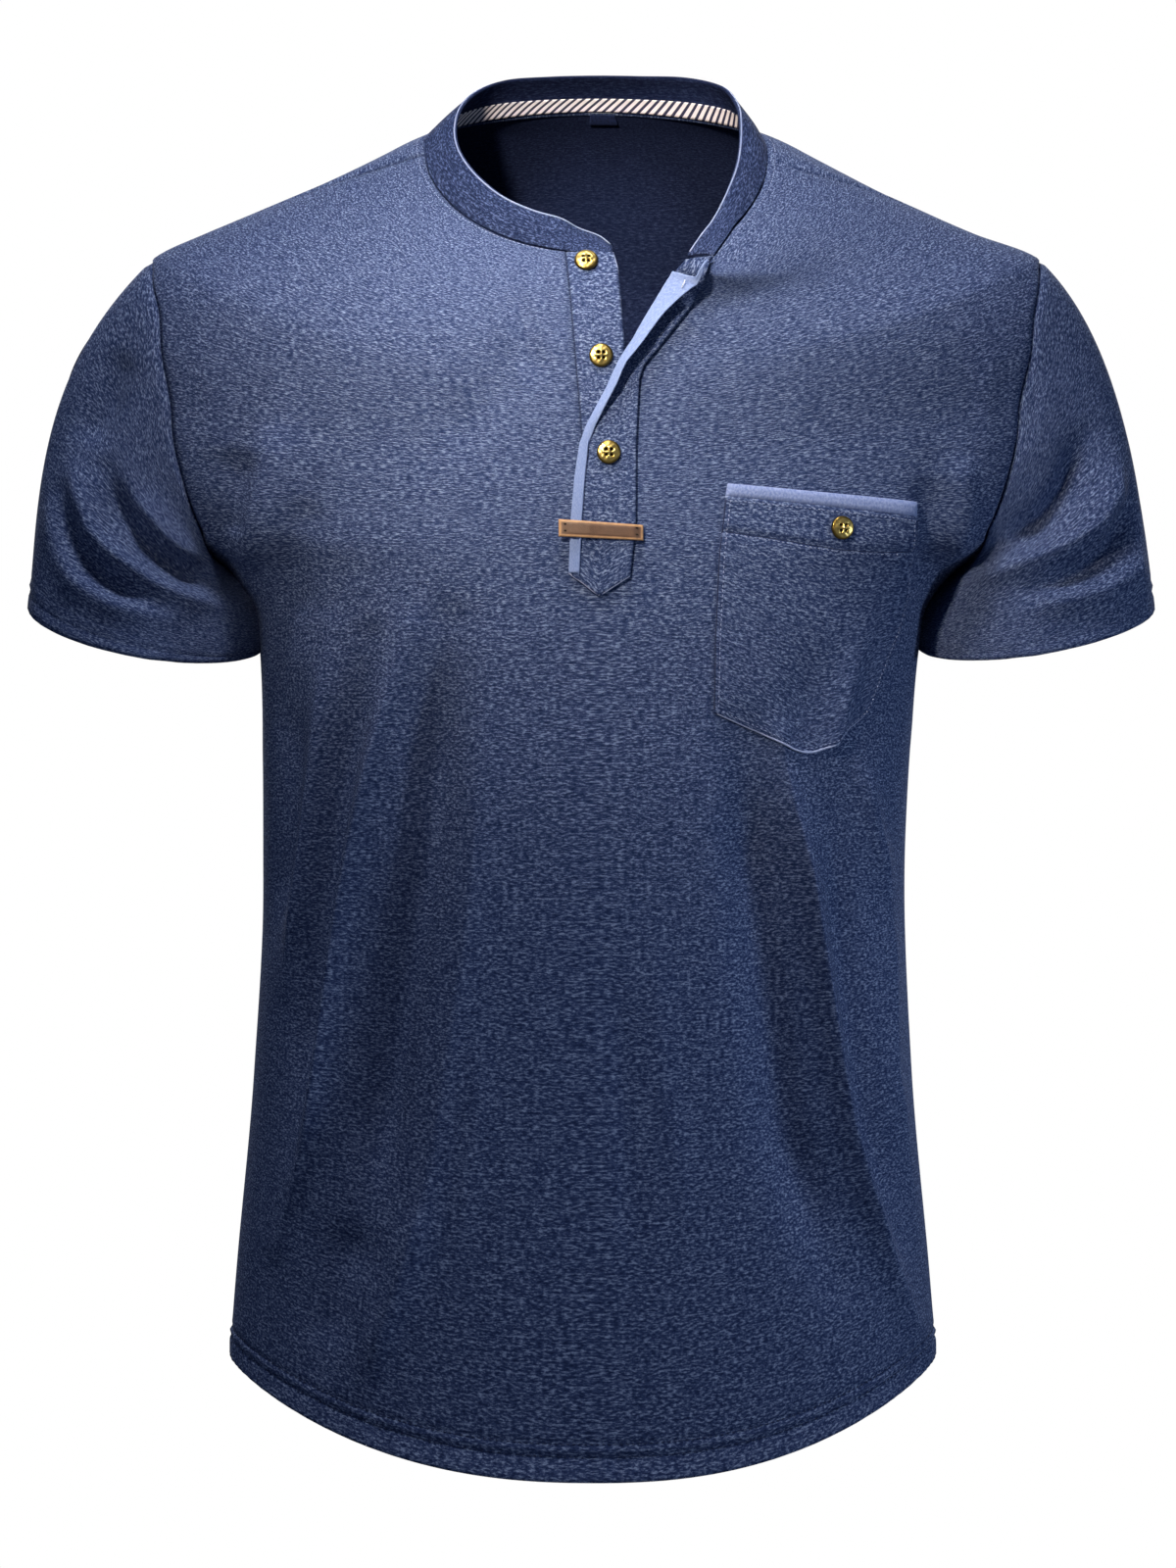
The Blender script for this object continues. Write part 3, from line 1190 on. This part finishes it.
def make_button(node, x, z, lift):
    r = BUTTON_RADIUS
    profile = [(0.0, 0.0), (r * 0.82, 0.0), (r * 0.95, 0.3), (r, 0.9), (r, 1.3), (r - 0.15, 1.8)]
    profile += [(a, 2.0 + 1.3 * math.cos(a / r * math.pi / 2) ** 0.8)
                for a in (5.7, 5.3, 4.9, 4.4, 3.9, 3.5, 3.1, 2.8, 2.5, 2.2, 1.9, 1.6, 1.3, 1.0,
                          0.7, 0.4, 0.0)]
    made = bmesh.new()
    verts = [made.verts.new((a, 0, b)) for a, b in profile]
    edges = [made.edges.new(pair) for pair in zip(verts[:-1], verts[1:])]
    bmesh.ops.spin(made, geom=verts + edges, axis=(0, 0, 1), cent=(0, 0, 0), steps=48,
                   angle=2 * math.pi, use_merge=True)
    bmesh.ops.remove_doubles(made, verts=made.verts, dist=0.001)
    spots = np.array([vert.co[:] for vert in made.verts])
    change = button_relief(*spots.T)
    point, normal = on_front(np.array(x), np.array(z), np.array(lift + 0.5))
    out = Vector(normal)
    across = Vector((0, 0, 1)).cross(out).normalized()
    turn = Matrix((across, out.cross(across), out)).transposed().to_4x4()
    for vert, push in zip(made.verts, change):
        vert.co.z += push
    bmesh.ops.scale(made, vec=(MM, MM, MM), verts=made.verts)
    bmesh.ops.transform(made, matrix=Matrix.Translation(Vector(point) * MM) @ turn,
                        verts=made.verts)
    bmesh.ops.recalc_face_normals(made, faces=made.faces)
    piece = own(made, node + "_brass", BRASS)
    away = np.hypot(spots[:, 0], spots[:, 1])
    paint(piece, "patina", np.clip(-change / 0.9, 0, 1) + 0.55 * ease((away - 4.6) / 1.4))
    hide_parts(node)
    return piece


buttons = [make_button(*row) for row in BUTTONS]
print("buttons:", [piece.name for piece in buttons])


# %% [markdown]
# ## Neck tape and size tab
# The tape covers the seam inside the back neck, from shoulder to shoulder. The small tab under
# it is left bare.

# %% Tape and tab
def make_tape():
    made, u, v = cloth_grid(110, 10)
    station = 9.0 + 10.4 * u
    height = 0.04 + 0.35 * v
    points, normal = band_point(station, height)
    points = points - normal * (BAND_WALL + 0.35 - 0.2 * np.sin(np.pi * v))[:, None]
    place_grid(made, points, np.stack([station * 19.0, v * 7.2], -1))
    bmesh.ops.reverse_faces(made, faces=made.faces)
    return thicken(own(made, "neck_tape_cloth", TAPE_CLOTH), TRIM_WALL)


def make_size_tab():
    made, u, v = cloth_grid(14, 10)
    x = 4.0 + 13.0 * (u - 0.5)
    rise = 732.0 + 18.0 * v
    face, normal = skin(180 - np.degrees(np.arcsin(x / 92.7)), rise)
    face = face - normal * (2.3 + 0.5 * (1 - v))[:, None]
    place_grid(made, face, np.stack([u * 13, v * 6], -1))
    bmesh.ops.reverse_faces(made, faces=made.faces)
    return thicken(own(made, "size_tab_cloth", TAB_CLOTH), TRIM_WALL)


neck_tape, size_tab = make_tape(), make_size_tab()
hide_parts("neck_tape")
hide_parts("size_tab")


# %% [markdown]
# ## Edges and stitching on the body
# The rows of stitches follow lines on the skin: round the neck, down the plackets, round the
# pocket and round the hem. A cut edge beside them is a roll.

# %% Lines on the front
def front_line(points, lift, step=2.0):
    """A line given as x, z, laid on the front at a lift, with its outward directions."""
    flat = np.asarray([(x, 0.0, z) for x, z in points], float)
    flat = spaced(flat, step)
    return on_front(flat[:, 0], flat[:, 2], np.full(len(flat), float(lift)))


def stitched(name, line, lift, material, **how):
    points, normals = front_line(line, lift)
    return stitch_row(name, points, normals, material, **how)


def inset_line(line, dx, z_from, z_to, count=40):
    z = np.linspace(z_from, z_to, count)
    return list(zip(line_x(line, z) + dx, z))


stitched("placket_under_stitches", inset_line(SLIT_LEFT, 1.6, -69, -160), 0.75, LIGHT_THREAD,
         length=1.8, gap=0.6, girth=0.16)
stitched("placket_top_stitches", inset_line(PLACKET_RIGHT, -1.6, -128, -236), 2.25, LIGHT_THREAD,
         length=1.8, gap=0.6, girth=0.18)
roll("placket_under_edge", front_line(inset_line(UNDER_RIGHT, -0.2, -67, -118), 0.3)[0], 0.45,
     EDGE)
roll("placket_foot_edge", front_line([(-13.4, -235.0)] + PLACKET_FOOT, 2.0)[0], 0.5, EDGE)
roll("facing_free_edge", front_line(inset_line(FACING_RIGHT, -0.6, -166, -236), 4.6)[0], 0.3,
     PALE)

# %% Pocket seams and the tab's stitches
def on_pocket(u, v, extra):
    """Points and directions on the pocket's own face for shares u, v."""
    u, v = np.broadcast_arrays(np.asarray(u, float), np.asarray(v, float))
    x, z = pocket_where(u, v)
    relief = pocket_relief(u, v) * (v < 0.99)
    return on_front(x, z, pocket_puff(u, v) + POCKET_WALL + TRIM_WALL + relief + extra)


run = np.linspace(0.015, 0.985, 60)  # along a seam, a little short of both corners
seams = {"hem": (run, 0.172), "mouth": (run, 0.018), "left": (0.02, run), "right": (0.98, run),
         "foot": (run, 0.982)}
for name, (u, v) in seams.items():
    stitch_row(f"pocket_{name}_stitches", *on_pocket(u, v, 0.15), LIGHT_THREAD, length=1.6,
               gap=0.9, girth=0.24)
roll("pocket_left_edge", on_pocket(0.0, run, -0.9)[0], 0.45, NAVY_THREAD)
roll("pocket_right_edge", on_pocket(1.0, run, -0.9)[0], 0.45, NAVY_THREAD)
roll("pocket_hem_edge", on_pocket(run, 0.164, -0.1)[0], 0.3, NAVY_THREAD)
roll("pocket_foot_edge", on_pocket(run, 1.0, -0.8)[0], 0.6, LIGHT_THREAD)
stitched("lapel_buttonhole", [(48.2, -79.4), (44.6, -86.4)], 11.0, WHITE_THREAD, length=0.8,
         gap=-0.3, girth=0.3)
# name, x, z and height of the four stitches that hold the leather tab
for spot, x, z, lift in (("left_210", -15.2, -210.0, 5.6), ("left_213", -15.2, -213.4, 5.6),
                         ("right_212", 21.5, -212.0, 4.1), ("right_215", 21.5, -215.4, 4.1)):
    stitched("tab_stitch_" + spot, [(x - 0.9, z), (x, z), (x + 0.9, z)], lift, DARK_THREAD,
             length=1.6, gap=1.0, girth=0.5)


# %% Lines round the neck and the hem
def ring_line(first, last, count, rise, lift):
    """A line round the body at one level, with its outward directions."""
    points, normal = skin(np.linspace(first, last, count), np.full(count, rise))
    return points + normal * lift, normal


for side, first, last, count in (("left", -176, -14, 200), ("right", 176, 46, 160)):
    stitch_row("neck_stitches_" + side, *ring_line(first, last, count, 747.5, 0.1),
               LIGHT_THREAD, length=2.0, gap=0.7, girth=0.16)
for row, height in enumerate(HEM_ROWS):
    stitch_row(f"hem_stitches_{row}", *ring_line(-179, 179, 620, height / PER_RISE, -0.35),
               NAVY_THREAD, length=2.2, gap=0.9, girth=0.2)
band_top, band_out = band_point(np.linspace(0.15, 23.85, 200), np.full(200, 1.0))
roll("collar_top_edge", band_top + band_out * 0.1, 0.42, EDGE, step=2.5)

# %% [markdown]
# ## What each sheet was cut to
# Each row is the whole cut of a piece, in metres, with its area in square metres where it
# isn't a plain rectangle, how the piece is held, and the pieces that it rests on.

# %% [markdown]
# ## Studio
# A small warm lamp makes the pool of light on the chest and a soft one lights the shoulders
# from above. Two cool lamps rake the sides, so that the folds show, and two behind edge the
# outline. The camera sees a white room, which lights the cloth only weakly. It stands level,
# three metres off, at mid height.


# %% Light
def area_light(name, place, target, size, watts, spread_angle, tint):
    data = bpy.data.lights.new(name, "AREA")
    data.shape, data.size, data.energy, data.color = "DISK", size, watts, tint
    data.spread = math.radians(spread_angle)
    turn = (Vector(target) - Vector(place)).to_track_quat("-Z", "Y").to_matrix().to_4x4()
    show(name, data).matrix_world = Matrix.Translation(place) @ turn


WARM, SOFT, COOL = (1.0, 0.85, 0.65), (1.0, 0.95, 0.90), (0.78, 0.89, 1.0)
WHITE = (1.0, 1.0, 1.0)
# name, place, aimed at, size in metres, watts, spread in degrees, colour
LAMPS = [
    ("chest_light", (-0.50, -1.20, 0.40), (-0.02, -0.12, -0.085), 0.15, 0.66, 23, WARM),
    ("top_light", (-0.1, -0.5, 0.95), (0.0, -0.1, -0.1), 0.28, 7.2, 120, SOFT),
    ("right_light", (1.95, -0.9, -0.35), (0.0, 0.0, -0.47), 0.3, 0.55, 30, COOL),
    ("left_light", (-1.9, -1.0, 0.1), (0.0, 0.0, -0.38), 0.3, 0.14, 50, COOL),
    ("left_rim_light", (-0.75, 1.6, 0.5), (-0.1, 0.0, -0.3), 0.7, 1.6, 50, WHITE),
    ("right_rim_light", (0.75, 1.6, 0.6), (0.1, 0.0, -0.3), 0.7, 1.8, 50, WHITE),
]
for lamp_row in LAMPS:
    area_light(*lamp_row)

world = bpy.data.worlds.new("white_room")
world.use_nodes = True
seen = world.node_tree.nodes["Background"]
seen.inputs["Color"].default_value = (1, 1, 1, 1)
seen.inputs["Strength"].default_value = 1.0
lit = add(world, "Background", {"Color": (0.5, 0.68, 1, 1), "Strength": 0.11})
to_camera = add(world, "LightPath").outputs["Is Camera Ray"]
mix = add(world, "MixShader", {"Fac": to_camera, 1: lit.outputs["Background"],
                               2: seen.outputs["Background"]})
world.node_tree.links.new(mix.outputs["Shader"],
                          world.node_tree.nodes["World Output"].inputs["Surface"])
bpy.context.scene.world = world
print("lamps:", [lamp_row[0] for lamp_row in LAMPS])

# %% Floor and camera
floor_mesh = bmesh.new()
bmesh.ops.create_grid(floor_mesh, x_segments=1, y_segments=1, size=3.0)
bmesh.ops.translate(floor_mesh, vec=(0, 0, -1.5), verts=floor_mesh.verts)
floor_data = bpy.data.meshes.new("studio_floor")
floor_mesh.to_mesh(floor_data)
floor_mesh.free()
floor_paint, floor_shader = start("pale_floor_paint", 0.7)
floor_shader.inputs["Base Color"].default_value = linear("#f4f4f2")
floor_data.materials.append(floor_paint)
show("studio_floor", floor_data)

lens = bpy.data.cameras.new("camera")
lens.lens, lens.sensor_width, lens.sensor_fit = 127.4, 36.0, "AUTO"
camera = show("camera", lens)
camera.location = (-0.0037, -3.0, -0.3445)
camera.rotation_euler = (math.radians(90), 0, 0)
bpy.context.scene.camera = camera
bpy.context.scene.view_settings.view_transform = "Standard"
